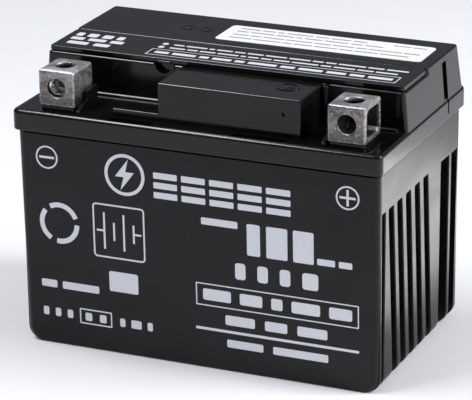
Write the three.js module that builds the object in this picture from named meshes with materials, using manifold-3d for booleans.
// A sealed 12 V lead-acid motorcycle battery, as an assembly of separate pieces.
// Millimetres. +X runs along the length, -Y is the printed front, +Z is up.
// The origin is at the centre of the base.

import * as THREE from 'three';
import { mergeVertices } from 'three/addons/utils/BufferGeometryUtils.js';
import Module from 'manifold-3d';

const wasm = await Module();
wasm.setup();

// Envelope
const LENGTH = 113;
const WIDTH = 70;
const HEIGHT = 85;

// Container
const CASE_TOP = 65.3;
const CASE_INSET_X = 1; // the lid's skirt stands this far outside the container's ends
const CASE_INSET_Y = 1.4; // and this far outside its front and back
const TAPER_X = 0.35; // inward lean of each end wall, from top to base
const TAPER_Y = 1.3; // inward lean of front and back, from top to base
const CORNER_RADIUS = 2.4;
const BASE_END_RADIUS = 4.2;
const BASE_SIDE_RADIUS = 0.8;

// Grooves in each end wall, front to back. The middle five run slightly backwards on their way down.
const GROOVE_TOP = 53.4;
const GROOVE_MIDDLE_Z = 27; // where each groove's front edge is measured
const GROOVE_DEPTH = 2.2;
const GROOVE_ROOF_SLOPE = 1.25;
const GROOVE_LEAN = -0.095; // change of Y for each millimetre upwards
const GROOVES = [{ front: -30.7, width: 2.7, lean: 0, depth: GROOVE_DEPTH }];
[-23.1, -16.4, -9.5, -2.4, 4.7].forEach((front) => {
  GROOVES.push({ front, width: 3.9, lean: GROOVE_LEAN, depth: GROOVE_DEPTH });
});
GROOVES.push({ front: 17, width: 7, lean: 0, depth: 3.1 });
GROOVES.push({ front: 26, width: 5.2, lean: 0, depth: GROOVE_DEPTH });

// Cells
const CELLS = 6;
const CELL_WIDTH = 15.9;
const PARTITION = 1.32;
const CELL_PITCH = CELL_WIDTH + PARTITION;
const CELL_FLOOR = 2.4;
const CELL_HALF_Y_BASE = 30.2;
const CELL_HALF_Y_TOP = 31.6;

// Plates and mats, stacked along X in each cell: n s p s n s p s n
const PLATE_NEGATIVE = 1.4;
const PLATE_POSITIVE = 2;
const MAT = 1.6;
const STACK_GAP = 0.1;
const PLATE_HALF_Y = 29.2;
const PLATE_Z = [3.9, 51.5];
const MAT_HALF_Y = 29.8;
const MAT_Z = [2.6, 53];
const LUG_Y = 22; // distance of the lugs and straps from the mid-plane
const LUG_HALF_Y = 3.5;
const STRAP_HALF_Y = 5.6;
const STRAP_Z = [55, 58.5];
const TAB_TOP = 63.8;
const TAB_THICKNESS = 1.8;
const WELD_Z = 61.2;
const WELD_RADIUS = 2.8;

// Lid
const LID_BASE = 65.6;
const SHELF_Z = 71.8;
const SKIRT_EDGE_RADIUS = 1.2;
const LID_TOP = 84.85;
const STRIP_SEAT_Z = 83.2;
const LID_SKIN = 2;
const LID_SPLIT_Y = [-13.7, -13.4]; // the lid is one moulding, held as a front and a rear solid
const UPPER_HALF_X = [56.1, 55]; // at the shelf and at the top
const UPPER_FRONT_Y = [-13.3, -13.1];
const UPPER_BACK_Y = [33, 31.2];
const UPPER_CORNER = 1.2;
const REAR_ZONE_Y = 5.4;
const BLOCK_X = [-12.5, 31];
const BLOCK_FRONT_Y = -30;
const LEDGE_LEFT_X = -26.7;
const LEDGE_TOP = 74.1;
const LID_INNER_X = 50.8;
const LID_INNER_Y = 29.9;

// Cap strip
const STRIP_Z = [83.4, 84.8];
const STRIP_Y = [-12.8, 5.1];
const STRIP_END_GAP = 0.3; // the strip stands back this far from the ends of its seat
const CARRIER_Z = [80.9, 83.1];
const CARRIER_HALF_X = 50.2;
const CARRIER_Y = [-10.3, 3.5];
const PLUG_Y = -3.5;
const PLUG_RADIUS = 5.3;
const PLUG_FOOT = 67.5;
const FILLER_RADIUS = 5.75;
const NIPPLE_RADIUS = 1.9;
const NIPPLE_TOP = 76;
const VALVE_RADIUS = 3.3;
const VALVE_Z = [71.4, 78.6];
const SEAL_Z = 72.6;
const SEAL_SECTION = 0.42;
const PULL_X = -18;
const PULL_RADIUS = 2.7;

// Terminals
const TERMINAL = { x: 11.3, y: 12.4, z: 10.8 };
const TERMINAL_Z = 73.2;
const TERMINAL_NEGATIVE = { x: -43, y: -26.2 };
const TERMINAL_POSITIVE = { x: 45.3, y: -26.1 };
const TERMINAL_BEVEL = 0.8;
const POCKET_HALF_Y = 4.6;
const POCKET_Z = [74.4, 82.6];
const POCKET_CHAMFER = 1.2;
const POCKET_BACK_WALL = 2.2;
const BOLT_HOLE_RADIUS = 2.75;
const POST_RADIUS = 3.5;
const NUT_WIDTH = 7.6;
const NUT_THICKNESS = 3.6;

// Label
const LABEL = { x: [-12.9, 51.2], y: [10, 24.9], thickness: 0.12, corner: 1.5 };

const GAP = 0.3;

// ---------------------------------------------------------------- helpers

function toSolid(geometry) {
  geometry.deleteAttribute('normal');
  geometry.deleteAttribute('uv');
  const merged = mergeVertices(geometry, 1e-5);
  return new wasm.Manifold(new wasm.Mesh({
    numProp: 3,
    vertProperties: new Float32Array(merged.attributes.position.array),
    triVerts: new Uint32Array(merged.index.array),
  }));
}

function toGeometry(solid) {
  const mesh = solid.getMesh();
  const geometry = new THREE.BufferGeometry();
  geometry.setAttribute('position', new THREE.BufferAttribute(mesh.vertProperties, 3));
  geometry.setIndex(new THREE.BufferAttribute(mesh.triVerts, 1));
  geometry.computeVertexNormals();
  return geometry;
}

// A box given by its ranges along each axis
function block([x0, x1], [y0, y1], [z0, z1]) {
  const geometry = new THREE.BoxGeometry(x1 - x0, y1 - y0, z1 - z0);
  geometry.translate((x0 + x1) / 2, (y0 + y1) / 2, (z0 + z1) / 2);
  return toSolid(geometry);
}

// A round bar along one axis; centre holds the other two coordinates in order
function bar(axis, radius, [from, to], centre, segments = 20) {
  const geometry = new THREE.CylinderGeometry(radius, radius, to - from, segments);
  const middle = (from + to) / 2;
  if (axis === 'x') {
    geometry.rotateZ(Math.PI / 2);
    geometry.translate(middle, centre[0], centre[1]);
  } else if (axis === 'y') {
    geometry.translate(centre[0], middle, centre[1]);
  } else {
    geometry.rotateX(Math.PI / 2);
    geometry.translate(centre[0], centre[1], middle);
  }
  return toSolid(geometry);
}

// A profile of [radius, z] points turned about a vertical axis
function turned(profile, [x, y], segments = 20) {
  const points = profile.map(([radius, z]) => new THREE.Vector2(radius, z));
  const geometry = new THREE.LatheGeometry(points, segments);
  geometry.rotateX(Math.PI / 2);
  geometry.translate(x, y, 0);
  return toSolid(geometry);
}

// An outline in YZ swept along X, or in XZ swept along Y, or in XY swept along Z
function prism(outline, axis, [from, to]) {
  const shape = new THREE.Shape(outline.map(([u, v]) => new THREE.Vector2(u, v)));
  const geometry = new THREE.ExtrudeGeometry(shape, { depth: to - from, bevelEnabled: false });
  const basis = new THREE.Matrix4();
  const X = new THREE.Vector3(1, 0, 0);
  const Y = new THREE.Vector3(0, 1, 0);
  const Z = new THREE.Vector3(0, 0, 1);
  if (axis === 'x') {
    geometry.translate(0, 0, from);
    basis.makeBasis(Y, Z, X);
  } else if (axis === 'y') {
    geometry.translate(0, 0, -to);
    basis.makeBasis(X, Z, Y.negate());
  } else {
    geometry.translate(0, 0, from);
  }
  geometry.applyMatrix4(basis);
  return toSolid(geometry);
}

// The corners of a rounded rectangle at one height, counter-clockwise from above
function roundedRing([x0, x1], [y0, y1], radius, z, steps = 5) {
  const corners = [[x1 - radius, y1 - radius], [x0 + radius, y1 - radius]];
  corners.push([x0 + radius, y0 + radius], [x1 - radius, y0 + radius]);
  const ring = [];
  corners.forEach(([cx, cy], quarter) => {
    for (let step = 0; step <= steps; step += 1) {
      const angle = (quarter + step / steps) * Math.PI / 2;
      ring.push(new THREE.Vector3(cx + radius * Math.cos(angle), cy + radius * Math.sin(angle), z));
    }
  });
  return ring;
}

// A closed skin through a stack of rings, lowest first
function loft(rings) {
  const count = rings[0].length;
  const faces = [];
  for (let level = 0; level < rings.length - 1; level += 1) {
    for (let i = 0; i < count; i += 1) {
      const a = level * count + i;
      const b = level * count + (i + 1) % count;
      faces.push(a, b, b + count, a, b + count, a + count);
    }
  }
  const top = (rings.length - 1) * count;
  for (let i = 1; i < count - 1; i += 1) {
    faces.push(0, i + 1, i);
    faces.push(top, top + i, top + i + 1);
  }
  const geometry = new THREE.BufferGeometry();
  geometry.setFromPoints(rings.flat());
  geometry.setIndex(faces);
  return toSolid(geometry);
}

function union(solids) {
  return solids.reduce((whole, solid) => whole.add(solid));
}

function cut(solid, tools) {
  return tools.reduce((rest, tool) => rest.subtract(tool), solid);
}

function lerp([from, to], t) {
  return from + (to - from) * t;
}

// The middle of a cell along X, for cell 0 to 5
function cellX(cell) {
  return (cell - (CELLS - 1) / 2) * CELL_PITCH;
}

// +1 where a cell's negative strap is at the back, -1 where it is at the front
function negativeSide(cell) {
  return cell % 2 === 0 ? -1 : 1;
}

const cells = Array.from({ length: CELLS }, (_, cell) => cell);

// ---------------------------------------------------------------- materials

function material(color, roughness, metalness = 0) {
  return new THREE.MeshStandardMaterial({ color, roughness, metalness });
}

const caseBlack = () => material(0x1b1b1e, 0.35);
const lidBlack = () => material(0x141519, 0.28);
const castLead = () => material(0x8f8c92, 0.45, 0.9);
const plateLead = () => material(0x6a6d72, 0.7, 0.5);
const oxideBrown = () => material(0x4a3228, 0.8);
const glassMat = () => material(0xe8e8e2, 0.95);
const rubber = () => material(0x26262a, 0.8);
const zincSteel = () => material(0xb9bcc2, 0.3, 1);
const paper = () => material(0xf1f2f4, 0.6);

// ---------------------------------------------------------------- container

// How far a wall with a rounded foot stands back at height z
function footInset(z, radius) {
  return z >= radius ? 0 : radius - Math.sqrt(radius ** 2 - (radius - z) ** 2);
}

function caseOutside() {
  const levels = [0, 0.08, 0.3, 0.8, 1.6, 2.7, BASE_END_RADIUS, CASE_TOP];
  return loft(levels.map((z) => {
    const lean = 1 - z / CASE_TOP;
    const halfX = LENGTH / 2 - CASE_INSET_X - TAPER_X * lean - footInset(z, BASE_END_RADIUS);
    const halfY = WIDTH / 2 - CASE_INSET_Y - TAPER_Y * lean - footInset(z, BASE_SIDE_RADIUS);
    return roundedRing([-halfX, halfX], [-halfY, halfY], CORNER_RADIUS, z);
  }));
}

function endGroove({ front, width, lean, depth }, side) {
  const outerX = LENGTH / 2 - CASE_INSET_X;
  const beyond = 4;
  const levels = [
    [-1, -TAPER_X - depth],
    [GROOVE_TOP - GROOVE_ROOF_SLOPE * depth, -depth],
    [GROOVE_TOP + GROOVE_ROOF_SLOPE * (beyond - 0.1), beyond - 0.1],
  ];
  const groove = loft(levels.map(([z, floor]) => {
    const y = front + lean * (z - GROOVE_MIDDLE_Z);
    const corners = [[floor, y], [beyond, y], [beyond, y + width], [floor, y + width]];
    return corners.map(([x, cornerY]) => new THREE.Vector3(outerX + x, cornerY, z));
  }));
  return side > 0 ? groove : groove.mirror([1, 0, 0]);
}

function cellCavity(cell) {
  const x = [cellX(cell) - CELL_WIDTH / 2, cellX(cell) + CELL_WIDTH / 2];
  return loft([
    roundedRing(x, [-CELL_HALF_Y_BASE, CELL_HALF_Y_BASE], 1, CELL_FLOOR, 2),
    roundedRing(x, [-CELL_HALF_Y_TOP, CELL_HALF_Y_TOP], 1, CASE_TOP + 1, 2),
  ]);
}

function partitionHole(cell) {
  const wallX = cellX(cell) + CELL_PITCH / 2;
  return bar('x', WELD_RADIUS + GAP, [wallX - 1, wallX + 1], [-negativeSide(cell) * LUG_Y, WELD_Z], 16);
}

function makeCase() {
  const grooves = GROOVES.flatMap((groove) => [endGroove(groove, 1), endGroove(groove, -1)]);
  const holes = cells.slice(0, -1).map(partitionHole);
  return cut(caseOutside(), [...grooves, ...cells.map(cellCavity), ...holes]);
}

// ---------------------------------------------------------------- plate stacks

// X ranges of the nine layers of a stack, from the left, about the cell's middle
function layers() {
  const kinds = [PLATE_NEGATIVE, MAT, PLATE_POSITIVE, MAT];
  const widths = [...kinds, ...kinds, PLATE_NEGATIVE];
  const total = widths.reduce((sum, width) => sum + width, 0) + STACK_GAP * (widths.length - 1);
  let x = -total / 2;
  return widths.map((width) => {
    const range = [x, x + width];
    x += width + STACK_GAP;
    return range;
  });
}

const stack = layers();
const negativeLayers = [stack[0], stack[4], stack[8]];
const positiveLayers = [stack[2], stack[6]];
const matLayers = [stack[1], stack[3], stack[5], stack[7]];

// Plates cast onto one strap, with an upright tab at the wall that the current crosses
function plateSet(cell, plates, side, tabSide) {
  const shift = cellX(cell);
  const y = side * LUG_Y;
  const moved = ([x0, x1]) => [x0 + shift, x1 + shift];
  const halfX = stack[8][1];
  const pieces = plates.flatMap((plate) => [
    block(moved(plate), [-PLATE_HALF_Y, PLATE_HALF_Y], PLATE_Z),
    block(moved(plate), [y - LUG_HALF_Y, y + LUG_HALF_Y], [PLATE_Z[1] - 1, STRAP_Z[0] + 1]),
  ]);
  pieces.push(block(moved([-halfX, halfX]), [y - STRAP_HALF_Y, y + STRAP_HALF_Y], STRAP_Z));
  if (tabSide !== 0) {
    const edge = tabSide * halfX;
    const inner = tabSide * (halfX - TAB_THICKNESS);
    const x = [Math.min(edge, inner), Math.max(edge, inner)];
    pieces.push(block(moved(x), [y - STRAP_HALF_Y, y + STRAP_HALF_Y], [STRAP_Z[0] + 1, TAB_TOP]));
  }
  return union(pieces);
}

function negativePlates(cell) {
  return plateSet(cell, negativeLayers, negativeSide(cell), cell === 0 ? 0 : -1);
}

function positivePlates(cell) {
  return plateSet(cell, positiveLayers, -negativeSide(cell), cell === CELLS - 1 ? 0 : 1);
}

// One mat: folded under each positive plate and over the middle negative plate,
// with a window for that plate's lug
function separator(cell) {
  const shift = cellX(cell);
  const y = [-MAT_HALF_Y, MAT_HALF_Y];
  const moved = (x0, x1) => [x0 + shift, x1 + shift];
  const fold = 1.1;
  const leaves = matLayers.map(([x0, x1]) => block(moved(x0, x1), y, MAT_Z));
  const under = [MAT_Z[0], MAT_Z[0] + fold];
  const over = [MAT_Z[1] - fold, MAT_Z[1]];
  leaves.push(block(moved(matLayers[0][0], matLayers[1][1]), y, under));
  leaves.push(block(moved(matLayers[2][0], matLayers[3][1]), y, under));
  leaves.push(block(moved(matLayers[1][0], matLayers[2][1]), y, over));
  const lug = negativeSide(cell) * LUG_Y;
  const middle = negativeLayers[1];
  const window = block(
    moved(middle[0] - STACK_GAP, middle[1] + STACK_GAP),
    [lug - LUG_HALF_Y - GAP, lug + LUG_HALF_Y + GAP],
    [over[0] - 1, over[1] + 1],
  );
  return cut(union(leaves), [window]);
}

// A slug through the partition between one cell's positive tab and the next one's negative tab
function cellConnector(cell) {
  const reach = CELL_PITCH / 2 - stack[8][1] - 0.05;
  const wallX = cellX(cell) + CELL_PITCH / 2;
  return bar('x', WELD_RADIUS, [wallX - reach, wallX + reach], [-negativeSide(cell) * LUG_Y, WELD_Z], 16);
}

// ---------------------------------------------------------------- lid

function skirt() {
  const steps = [0, 1, 2, 3, 4];
  const straight = SHELF_Z - SKIRT_EDGE_RADIUS;
  const rings = [roundedRing([-LENGTH / 2, LENGTH / 2], [-WIDTH / 2, WIDTH / 2], CORNER_RADIUS, LID_BASE)];
  steps.forEach((step) => {
    const angle = (step / 4) * Math.PI / 2;
    const inset = SKIRT_EDGE_RADIUS * (1 - Math.cos(angle));
    const halfX = LENGTH / 2 - inset;
    const halfY = WIDTH / 2 - inset;
    const z = straight + SKIRT_EDGE_RADIUS * Math.sin(angle);
    rings.push(roundedRing([-halfX, halfX], [-halfY, halfY], CORNER_RADIUS - inset, z));
  });
  return loft(rings);
}

// The half length of the upper body at height z: its end walls lean inwards
function upperHalfX(z) {
  return lerp(UPPER_HALF_X, (z - SHELF_Z) / (LID_TOP - SHELF_Z));
}

function upperBody() {
  const rings = [SHELF_Z - 2, LID_TOP].map((z) => {
    const rise = (z - SHELF_Z) / (LID_TOP - SHELF_Z);
    const y = [lerp(UPPER_FRONT_Y, rise), lerp(UPPER_BACK_Y, rise)];
    return roundedRing([-upperHalfX(z), upperHalfX(z)], y, UPPER_CORNER, z);
  });
  const stripSeat = block([-60, 60], [-20, REAR_ZONE_Y], [STRIP_SEAT_Z, LID_TOP + 1]);
  return loft(rings).subtract(stripSeat);
}

// The low pad that a terminal stands on
function terminalPad({ x, y }) {
  const half = [TERMINAL.x / 2 - 0.5, TERMINAL.y / 2 - 0.5];
  return block([x - half[0], x + half[0]], [y - half[1], y + half[1]], [SHELF_Z - 1, TERMINAL_Z - GAP]);
}

function lidOutside() {
  const wallFoot = [-14.2, -12];
  const lowBoss = [SHELF_Z - 1, SHELF_Z + 0.9];
  return union([
    skirt(),
    upperBody(),
    block(BLOCK_X, [BLOCK_FRONT_Y, -11], [SHELF_Z - 1, STRIP_SEAT_Z]),
    block([LEDGE_LEFT_X, BLOCK_X[0] + 1], [BLOCK_FRONT_Y, BLOCK_FRONT_Y + 2], [SHELF_Z - 1, LEDGE_TOP]),
    terminalPad(TERMINAL_NEGATIVE),
    terminalPad(TERMINAL_POSITIVE),
    block([-52, BLOCK_X[0] + 1], wallFoot, lowBoss),
    block([BLOCK_X[1] - 1, 53.6], wallFoot, lowBoss),
    block([31.6, 33], [-15.4, -12], [SHELF_Z - 1, STRIP_SEAT_Z]),
    pullNotchRim(),
  ]);
}

// A raised half ring below the place where a fingertip lifts the strip
function pullNotchRim() {
  const y = [-13.3, -12];
  const outer = bar('y', PULL_RADIUS + 0.6, y, [PULL_X, STRIP_SEAT_Z], 24);
  const above = block([PULL_X - 5, PULL_X + 5], [-14, -11], [STRIP_SEAT_Z, STRIP_SEAT_Z + 5]);
  return outer.subtract(above);
}

function lidHollows(cell) {
  const inner = CELL_WIDTH / 2;
  const x = [
    Math.max(cellX(cell) - inner, -LID_INNER_X),
    Math.min(cellX(cell) + inner, LID_INNER_X),
  ];
  const below = LID_BASE - 1;
  const hollows = [
    block(x, [-LID_INNER_Y, -14.6], [below, SHELF_Z - LID_SKIN]),
    block(x, [-11.1, REAR_ZONE_Y], [below, CARRIER_Z[0] - GAP - LID_SKIN]),
    block(x, [REAR_ZONE_Y + LID_SKIN, LID_INNER_Y], [below, LID_TOP - LID_SKIN]),
  ];
  const blockX = [Math.max(x[0], BLOCK_X[0] + LID_SKIN), Math.min(x[1], BLOCK_X[1] - LID_SKIN)];
  if (blockX[1] - blockX[0] > 2) {
    const blockY = [BLOCK_FRONT_Y + LID_SKIN, -14.6];
    hollows.push(block(blockX, blockY, [below, STRIP_SEAT_Z - LID_SKIN]));
  }
  return hollows;
}

// Short tongues under the lid, which sit just inside the container's long walls
function tongues(cell) {
  const half = CELL_WIDTH / 2 - 0.8;
  const x = [cellX(cell) - half, cellX(cell) + half];
  const z = [LID_BASE - 2, LID_BASE + 1];
  const y = [LID_INNER_Y + 0.2, LID_INNER_Y + 1.3];
  return [block(x, y, z), block(x, [-y[1], -y[0]], z)];
}

function lidOpenings() {
  const trough = block(
    [-CARRIER_HALF_X - 0.4, CARRIER_HALF_X + 0.4],
    [CARRIER_Y[0] - 0.4, CARRIER_Y[1] + 0.4],
    [CARRIER_Z[0] - GAP, LID_TOP + 1],
  );
  const pocketY = [-34.1, -31.2];
  const pocketZ = [SHELF_Z - 1.3, SHELF_Z + 1];
  const openings = [
    trough,
    block([-26.9, -12.8], pocketY, pocketZ),
    block([11.8, 27.2], pocketY, pocketZ),
    bar('y', PULL_RADIUS, [-14, -11], [PULL_X, STRIP_SEAT_Z], 24),
    bar('y', 0.7, [BLOCK_FRONT_Y - 1, BLOCK_FRONT_Y + 0.7], [26, 78.6], 10),
  ];
  [1, -1].forEach((side) => {
    const slot = block([52.6, 60], [17.2, 20.5], [72, 83]);
    const slit = block([LENGTH / 2 - 0.7, 60], [19.8, 20.3], [67.4, 73]);
    openings.push(side > 0 ? slot : slot.mirror([1, 0, 0]));
    openings.push(side > 0 ? slit : slit.mirror([1, 0, 0]));
  });
  return openings;
}

function makeLid() {
  const shell = cut(lidOutside(), cells.flatMap(lidHollows));
  const collars = cells.map((cell) => bar('z', 6.9, [LID_BASE + 0.4, 79.5], [cellX(cell), PLUG_Y], 24));
  const fillers = cells.map((cell) => bar('z', FILLER_RADIUS, [60, 90], [cellX(cell), PLUG_Y], 24));
  const posts = [TERMINAL_NEGATIVE, TERMINAL_POSITIVE].map(({ x, y }) => [x, y]);
  const bosses = posts.map((at) => bar('z', 7.4, [LID_BASE + 0.4, SHELF_Z - 1], at, 24));
  const sealSeats = posts.map((at) => bar('z', 6, [60, SHELF_Z - LID_SKIN], at, 24));
  const postHoles = posts.map((at) => bar('z', POST_RADIUS + GAP, [60, 75], at, 20));
  const body = union([shell, ...collars, ...bosses, ...cells.flatMap(tongues)]);
  return cut(body, [...lidOpenings(), ...fillers, ...sealSeats, ...postHoles]);
}

// A stepped kerb that stands on the shelf beside a terminal, on its inner side
function kerb(x) {
  const foot = SHELF_Z + GAP;
  const stepped = [[-20.4, 77.5], [-26.7, 77], [-27, 74.6], [-30, 73.8], [-32.4, 72.8]];
  return prism([[-32.4, foot], [-20.4, foot], ...stepped], 'x', x);
}

// The stretch of the lid between two values of Y
function lidStretch(y) {
  return makeLid().intersect(block([-60, 60], y, [60, 90]));
}

// ---------------------------------------------------------------- cap strip

// The visible plate, with a pull lip in front and a stop above each valve
function makeStripCover() {
  const rings = STRIP_Z.map((z) => {
    const halfX = upperHalfX(z) - STRIP_END_GAP;
    return roundedRing([-halfX, halfX], STRIP_Y, 1, z, 4);
  });
  const lip = block([PULL_X - 2.2, PULL_X + 2.2], [STRIP_Y[0] - 0.5, STRIP_Y[0] + 1], [83.4, 84.2]);
  const stops = cells.map((cell) => bar('z', 1.2, [79.3, STRIP_Z[0] + 0.5], [cellX(cell), PLUG_Y], 12));
  return union([loft(rings), lip, ...stops]);
}

// Six hollow plugs under one bar, each with a bored nipple that is the valve's seat
function makePlugCarrier() {
  const rail = block([-CARRIER_HALF_X, CARRIER_HALF_X], CARRIER_Y, CARRIER_Z);
  const plugs = cells.map((cell) => turned([
    [0, PLUG_FOOT],
    [PLUG_RADIUS - 0.8, PLUG_FOOT],
    [PLUG_RADIUS, PLUG_FOOT + 1.2],
    [PLUG_RADIUS, SEAL_Z - 0.6],
    [PLUG_RADIUS - 0.6, SEAL_Z - 0.6],
    [PLUG_RADIUS - 0.6, SEAL_Z + 0.6],
    [PLUG_RADIUS, SEAL_Z + 0.6],
    [PLUG_RADIUS, CARRIER_Z[0] + 0.5],
    [0, CARRIER_Z[0] + 0.5],
  ], [cellX(cell), PLUG_Y], 16));
  const cups = cells.map((cell) => turned([
    [NIPPLE_RADIUS, PLUG_FOOT + 1.6],
    [VALVE_RADIUS + 0.7, PLUG_FOOT + 1.6],
    [VALVE_RADIUS + 0.7, CARRIER_Z[1] + 1],
    [0, CARRIER_Z[1] + 1],
    [0, NIPPLE_TOP],
    [NIPPLE_RADIUS, NIPPLE_TOP],
    [NIPPLE_RADIUS, PLUG_FOOT + 1.6],
  ], [cellX(cell), PLUG_Y], 16));
  const bores = cells.map((cell) => bar('z', 0.8, [PLUG_FOOT - 1, NIPPLE_TOP + 1], [cellX(cell), PLUG_Y], 8));
  return cut(union([rail, ...plugs]), [...cups, ...bores]);
}

// A rubber cap that sits over the nipple and lifts when gas pushes it
function makeValve(cell) {
  const bore = NIPPLE_RADIUS + 0.12;
  return turned([
    [bore, VALVE_Z[0]],
    [VALVE_RADIUS - 0.3, VALVE_Z[0]],
    [VALVE_RADIUS, VALVE_Z[0] + 0.6],
    [VALVE_RADIUS, VALVE_Z[1] - 0.7],
    [VALVE_RADIUS - 0.7, VALVE_Z[1]],
    [0, VALVE_Z[1]],
    [0, NIPPLE_TOP + 0.1],
    [bore, NIPPLE_TOP + 0.1],
    [bore, VALVE_Z[0]],
  ], [cellX(cell), PLUG_Y], 14);
}

function makePlugSeal(cell) {
  const corners = 6;
  const profile = [];
  for (let corner = 0; corner <= corners; corner += 1) {
    const angle = (corner % corners) / corners * 2 * Math.PI;
    profile.push([
      PLUG_RADIUS - 0.1 + SEAL_SECTION * Math.cos(angle),
      SEAL_Z + SEAL_SECTION * Math.sin(angle),
    ]);
  }
  return turned(profile, [cellX(cell), PLUG_Y], 16);
}

// ---------------------------------------------------------------- terminals

// A hollow cast cube: bolt holes in front and on top, a nut pocket open on the outer side
function makeTerminal(at, side) {
  const halfX = TERMINAL.x / 2;
  const halfY = TERMINAL.y / 2;
  const top = TERMINAL_Z + TERMINAL.z;
  const ring = (z, inset) => roundedRing(
    [at.x - halfX + inset, at.x + halfX - inset],
    [at.y - halfY + inset, at.y + halfY - inset],
    TERMINAL_BEVEL,
    z,
    2,
  );
  const cube = loft([ring(TERMINAL_Z, 0), ring(top - TERMINAL_BEVEL, 0), ring(top, TERMINAL_BEVEL)]);
  const [low, high] = POCKET_Z;
  const [front, back] = [at.y - POCKET_HALF_Y, at.y + POCKET_HALF_Y];
  const chamfer = POCKET_CHAMFER;
  const window = [
    [front + chamfer, low],
    [back - chamfer, low],
    [back, low + chamfer],
    [back, high - chamfer],
    [back - chamfer, high],
    [front + chamfer, high],
    [front, high - chamfer],
    [front, low + chamfer],
  ];
  const innerX = at.x - side * (halfX - POCKET_BACK_WALL);
  const outerX = at.x + side * (halfX + 2);
  const pocket = prism(window, 'x', [Math.min(innerX, outerX), Math.max(innerX, outerX)]);
  const middleZ = TERMINAL_Z + TERMINAL.z / 2;
  const frontHole = bar('y', BOLT_HOLE_RADIUS, [at.y - halfY - 1, at.y], [at.x, middleZ], 24);
  const topHole = bar('z', BOLT_HOLE_RADIUS, [middleZ, top + 1], [at.x, at.y], 24);
  return cut(cube, [pocket, frontHole, topHole]);
}

// A square nut on edge in the negative terminal's pocket, its thread facing the front hole
function makeNut() {
  const outerFace = TERMINAL_NEGATIVE.x - TERMINAL.x / 2;
  const x = [outerFace + 1.1, outerFace + 1.1 + NUT_WIDTH];
  const z = [POCKET_Z[0] + 0.15, POCKET_Z[0] + 0.15 + NUT_WIDTH];
  const front = TERMINAL_NEGATIVE.y - POCKET_HALF_Y + POCKET_CHAMFER + 0.1;
  const corner = 0.5;
  const outline = [
    [x[0] + corner, z[0]],
    [x[1] - corner, z[0]],
    [x[1], z[0] + corner],
    [x[1], z[1] - corner],
    [x[1] - corner, z[1]],
    [x[0] + corner, z[1]],
    [x[0], z[1] - corner],
    [x[0], z[0] + corner],
  ];
  const body = prism(outline, 'y', [front, front + NUT_THICKNESS]);
  const centre = [(x[0] + x[1]) / 2, (z[0] + z[1]) / 2];
  return body.subtract(bar('y', 2.1, [front - 1, front + NUT_THICKNESS + 1], centre, 20));
}

function makePost(at) {
  return turned([
    [0, STRAP_Z[1] + 0.1],
    [POST_RADIUS + 1, STRAP_Z[1] + 0.1],
    [POST_RADIUS, STRAP_Z[1] + 2],
    [POST_RADIUS, TERMINAL_Z - 0.1],
    [0, TERMINAL_Z - 0.1],
  ], [at.x, at.y]);
}

function makePostSeal(at) {
  const z = [LID_BASE + 0.6, SHELF_Z - LID_SKIN - 0.1];
  return turned([
    [POST_RADIUS + 0.1, z[0]],
    [5.4, z[0]],
    [5.8, z[0] + 0.5],
    [5.8, z[1]],
    [POST_RADIUS + 0.1, z[1]],
    [POST_RADIUS + 0.1, z[0]],
  ], [at.x, at.y]);
}

// ---------------------------------------------------------------- label

function makeLabel() {
  const bottom = HEIGHT - LABEL.thickness;
  return loft([bottom, HEIGHT].map((z) => roundedRing(LABEL.x, LABEL.y, LABEL.corner, z, 4)));
}

// ---------------------------------------------------------------- assembly

const battery = new THREE.Group();

function place(name, solid, finish) {
  const mesh = new THREE.Mesh(toGeometry(solid), finish());
  mesh.name = name;
  battery.add(mesh);
}

place('case', makeCase(), caseBlack);
place('lid_front', lidStretch([-40, LID_SPLIT_Y[0]]), lidBlack);
place('lid_rear', lidStretch([LID_SPLIT_Y[1], 40]), lidBlack);
place('kerb_negative', kerb([-36.9, -35.8]), lidBlack);
place('kerb_positive', kerb([38.1, 39.2]), lidBlack);
place('strip_cover', makeStripCover(), lidBlack);
place('plug_carrier', makePlugCarrier(), caseBlack);
place('terminal_negative', makeTerminal(TERMINAL_NEGATIVE, -1), castLead);
place('terminal_positive', makeTerminal(TERMINAL_POSITIVE, 1), castLead);
place('nut_negative', makeNut(), zincSteel);
place('post_negative', makePost(TERMINAL_NEGATIVE), castLead);
place('post_positive', makePost(TERMINAL_POSITIVE), castLead);
place('post_seal_negative', makePostSeal(TERMINAL_NEGATIVE), rubber);
place('post_seal_positive', makePostSeal(TERMINAL_POSITIVE), rubber);
place('top_label', makeLabel(), paper);

cells.forEach((cell) => {
  const number = cell + 1;
  place(`negative_plates_${number}`, negativePlates(cell), plateLead);
  place(`positive_plates_${number}`, positivePlates(cell), oxideBrown);
  place(`separator_${number}`, separator(cell), glassMat);
  place(`valve_${number}`, makeValve(cell), rubber);
  place(`plug_seal_${number}`, makePlugSeal(cell), rubber);
});

cells.slice(0, -1).forEach((cell) => {
  place(`cell_connector_${cell + 1}`, cellConnector(cell), castLead);
});

export default battery;
